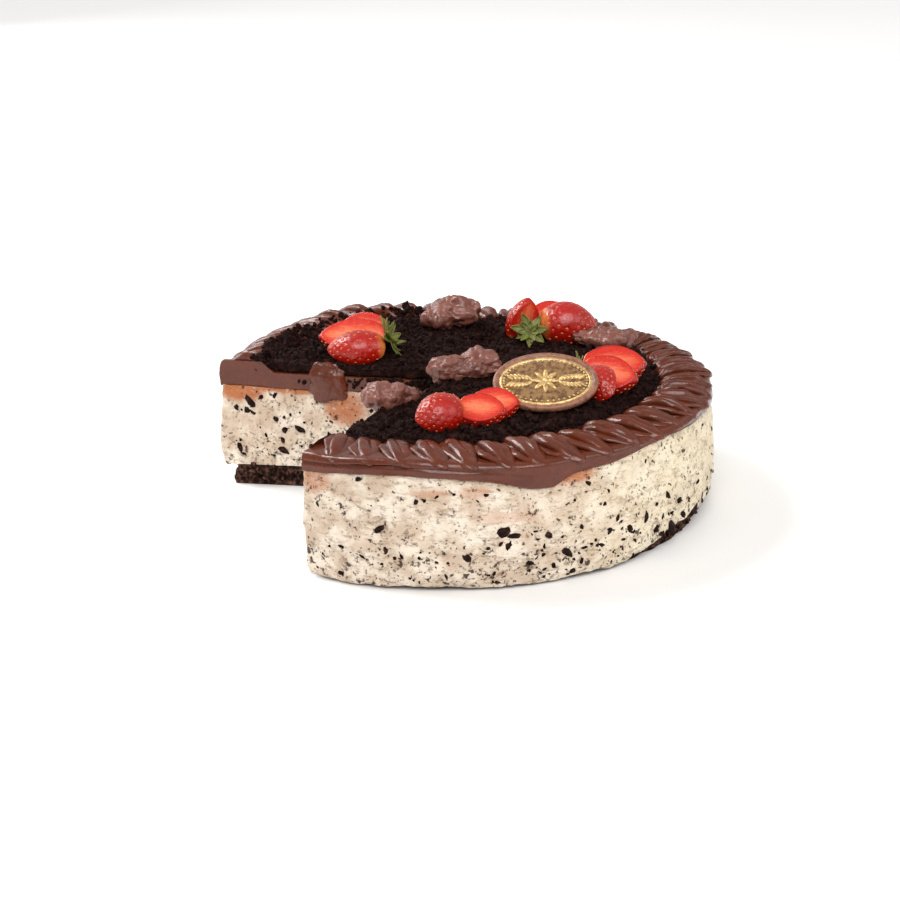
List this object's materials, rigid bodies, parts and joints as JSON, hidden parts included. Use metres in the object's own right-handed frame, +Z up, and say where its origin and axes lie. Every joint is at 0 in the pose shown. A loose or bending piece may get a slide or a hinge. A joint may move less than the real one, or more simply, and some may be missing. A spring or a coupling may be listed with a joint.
{
  "type": "round cookies and cream cake with one slice cut out",
  "caption": "Round cookies and cream cake on a dark crumb crust, with ganache, piped border, crumbs, strawberries, chocolate chunks and a medallion; one slice is cut out.",
  "frame": {"origin": "on the cake's axis at its underside, within 2 mm of the middle of its box", "axes": "+Z up out of the top; -Y towards the viewer of the picture; -X towards the side that the slice was cut from"},
  "size_m": [0.243, 0.2457, 0.0855],
  "materials": {
    "crust": "matt dark cookie crumb base",
    "cream": "soft satin cream with dark cookie bits",
    "ganache": "glossy milk chocolate ganache",
    "crumbs": "matt dark cookie crumbs",
    "chunk": "rough chocolate with small glints",
    "strawberry": "wet red skin, paler cut faces",
    "calyx": "fresh green leaf",
    "medallion": "chocolate dusted with gold"
  },
  "bodies": {
    "root": {"crust": "crust", "filling": "cream", "ganache_layer": "ganache", "piped_border": "ganache", "crumb_topping": "crumbs", "chunk_centre": "chunk", "chunk_back": "chunk", "chunk_right": "chunk", "chunk_cut_tip": "chunk", "chunk_cut_edge": "ganache", "strawberry_left_1": "strawberry", "strawberry_left_2": "strawberry", "strawberry_left_3": "strawberry", "strawberry_back_1": "strawberry", "strawberry_back_2": "strawberry", "strawberry_back_3": "strawberry", "strawberry_right_1": "strawberry", "strawberry_right_2": "strawberry", "strawberry_right_3": "strawberry", "strawberry_front_1": "strawberry", "strawberry_front_2": "strawberry", "strawberry_front_3": "strawberry", "strawberry_left_calyx": "calyx", "strawberry_back_calyx": "calyx", "strawberry_right_calyx": "calyx", "medallion": "medallion"}
  },
  "joints": []
}
